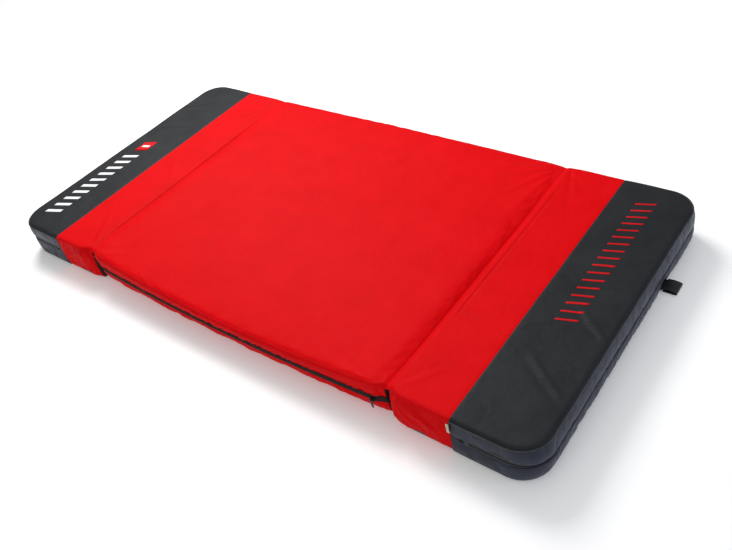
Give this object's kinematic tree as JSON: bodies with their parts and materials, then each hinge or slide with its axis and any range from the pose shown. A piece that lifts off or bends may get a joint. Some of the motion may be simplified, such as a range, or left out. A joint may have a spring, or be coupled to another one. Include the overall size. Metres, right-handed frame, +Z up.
{
  "type": "folding bouldering crash pad",
  "caption": "Gatefold foam landing pad in a sewn cover, with a wing folding over from each end, zips, stowed closure hooks and a carrying harness underneath.",
  "frame": {"origin": "middle of the flat underside, on the surface the open pad lies on", "axes": "+X along the pad to the wing with the standing closure loop, +Y to the rear side, +Z up"},
  "size_m": [2.048, 1.0176, 0.13],
  "materials": {
    "landing_fabric": "coated nylon, low sheen",
    "side_fabric": "coated nylon, low sheen",
    "cap_fabric": "coated nylon, low sheen",
    "ground_fabric": "heavy coated nylon",
    "gap_lining": "plain woven lining",
    "firm_foam": "closed-cell polyethylene foam",
    "soft_foam": "open-cell polyurethane foam",
    "binding_tape": "woven edge binding",
    "zip_tape": "woven polyester tape",
    "zip_coil": "moulded nylon coil",
    "zip_metal": "black enamelled zinc",
    "closure_webbing": "woven nylon webbing",
    "hook_metal": "brushed",
    "harness_fabric": "padded nylon",
    "harness_webbing": "woven nylon webbing",
    "harness_plastic": "moulded acetal",
    "tag_fabric": "woven satin, blank"
  },
  "bodies": {
    "centre": {"centre_foam_base_sheet": "firm_foam", "centre_foam_core": "soft_foam", "centre_foam_top_sheet": "firm_foam", "centre_front_band": "side_fabric", "centre_gap_walls": "gap_lining", "centre_ground_panel": "ground_fabric", "centre_landing_panel": "landing_fabric", "centre_rear_band": "side_fabric", "centre_zip_coil": "zip_coil", "centre_zip_tape": "zip_tape", "left_hinge_fabric": "landing_fabric", "right_hinge_fabric": "landing_fabric", "shoulder_straps": "harness_fabric", "shoulder_ladder_locks": "harness_plastic", "shoulder_webbing": "harness_webbing", "harness_sewn_patches": "harness_webbing"},
    "right_wing": {"right_wing_bindings": "binding_tape", "right_wing_end_band": "cap_fabric", "right_wing_end_cap_panel": "cap_fabric", "right_wing_foam_base_sheet": "firm_foam", "right_wing_foam_core": "soft_foam", "right_wing_foam_top_sheet": "firm_foam", "right_wing_gap_wall": "gap_lining", "right_wing_ground_panel": "ground_fabric", "right_wing_landing_panel": "landing_fabric", "right_wing_side_bands": "side_fabric", "right_wing_zip_coil": "zip_coil", "right_wing_zip_tape": "zip_tape", "closure_loop_tails": "closure_webbing", "woven_tag": "tag_fabric"},
    "left_wing": {"left_wing_bindings": "binding_tape", "left_wing_end_band": "cap_fabric", "left_wing_end_cap_panel": "cap_fabric", "left_wing_foam_base_sheet": "firm_foam", "left_wing_foam_core": "soft_foam", "left_wing_foam_top_sheet": "firm_foam", "left_wing_gap_wall": "gap_lining", "left_wing_ground_panel": "ground_fabric", "left_wing_landing_panel": "landing_fabric", "left_wing_side_bands": "side_fabric", "left_wing_zip_coil": "zip_coil", "left_wing_zip_tape": "zip_tape", "closure_strap_tails": "closure_webbing"},
    "centre_zip_slider": {"centre_zip_slider": "zip_metal"},
    "centre_zip_pull": {"centre_zip_slider_pull": "zip_metal"},
    "right_zip_slider": {"right_wing_zip_slider": "zip_metal"},
    "right_zip_pull": {"right_wing_zip_slider_pull": "zip_metal"},
    "left_zip_slider": {"left_wing_zip_slider": "zip_metal"},
    "left_zip_pull": {"left_wing_zip_slider_pull": "zip_metal"},
    "rear_loop": {"closure_loop_rear": "closure_webbing"},
    "front_loop": {"closure_loop_front": "closure_webbing"},
    "front_strap": {"closure_strap_front": "closure_webbing"},
    "rear_strap": {"closure_strap_rear": "closure_webbing"},
    "front_hook": {"closure_hook_front": "hook_metal"},
    "rear_hook": {"closure_hook_rear": "hook_metal"},
    "rear_belt": {"hip_belt_rear_half": "harness_fabric", "belt_buckle_socket": "harness_plastic"},
    "front_belt": {"hip_belt_front_half": "harness_fabric", "belt_buckle_prongs": "harness_plastic"}
  },
  "joints": [
    {"name": "right_wing_fold", "type": "hinge", "parent": "centre", "child": "right_wing", "pos_m": [0.595, 0, 0.131], "axis": [0, -1, 0], "range_deg": [0, 180], "deforming": ["right_hinge_fabric"]},
    {"name": "left_wing_fold", "type": "hinge", "parent": "centre", "child": "left_wing", "pos_m": [-0.595, 0, 0.131], "axis": [0, 1, 0], "range_deg": [0, 180], "deforming": ["left_hinge_fabric"]},
    {"name": "centre_zip_travel", "type": "slide", "parent": "centre", "child": "centre_zip_slider", "axis": [-1, 0, 0], "range_m": [0, 1.104]},
    {"name": "centre_zip_pull_swing", "type": "hinge", "parent": "centre_zip_slider", "child": "centre_zip_pull", "pos_m": [0.552, -0.5065, 0.065], "axis": [-1, 0, 0], "range_deg": [0, 180]},
    {"name": "right_zip_travel", "type": "slide", "parent": "right_wing", "child": "right_zip_slider", "axis": [1, 0, 0], "range_m": [0, 0.078]},
    {"name": "right_zip_pull_swing", "type": "hinge", "parent": "right_zip_slider", "child": "right_zip_pull", "pos_m": [0.834, 0.5065, 0.065], "axis": [1, 0, 0], "range_deg": [0, 180]},
    {"name": "left_zip_travel", "type": "slide", "parent": "left_wing", "child": "left_zip_slider", "axis": [-1, 0, 0], "range_m": [0, 0.078]},
    {"name": "left_zip_pull_swing", "type": "hinge", "parent": "left_zip_slider", "child": "left_zip_pull", "pos_m": [-0.834, 0.5065, 0.065], "axis": [1, 0, 0], "range_deg": [0, 180]},
    {"name": "rear_loop_flap", "type": "hinge", "parent": "right_wing", "child": "rear_loop", "pos_m": [1.005, 0.24, 0.0094], "axis": [0, -1, 0], "range_deg": [0, 60]},
    {"name": "front_loop_flap", "type": "hinge", "parent": "right_wing", "child": "front_loop", "pos_m": [0.986, -0.24, 0.0004], "axis": [0, -1, 0], "range_deg": [0, 180]},
    {"name": "front_strap_swing", "type": "hinge", "parent": "left_wing", "child": "front_strap", "pos_m": [-0.986, -0.24, 0.0004], "axis": [0, 1, 0], "range_deg": [0, 180]},
    {"name": "rear_strap_swing", "type": "hinge", "parent": "left_wing", "child": "rear_strap", "pos_m": [-0.986, 0.24, 0.0004], "axis": [0, 1, 0], "range_deg": [0, 180]},
    {"name": "front_hook_swing", "type": "hinge", "parent": "front_strap", "child": "front_hook", "pos_m": [-0.688, -0.24, 0.0053], "axis": [0, 1, 0], "range_deg": [0, 90]},
    {"name": "rear_hook_swing", "type": "hinge", "parent": "rear_strap", "child": "rear_hook", "pos_m": [-0.688, 0.24, 0.0053], "axis": [0, 1, 0], "range_deg": [0, 90]},
    {"name": "rear_belt_swing", "type": "hinge", "parent": "centre", "child": "rear_belt", "pos_m": [0.42, 0.022, 0.0004], "axis": [-1, 0, 0], "range_deg": [0, 90]},
    {"name": "front_belt_swing", "type": "hinge", "parent": "centre", "child": "front_belt", "pos_m": [0.42, -0.022, 0.0004], "axis": [1, 0, 0], "range_deg": [0, 90]}
  ]
}
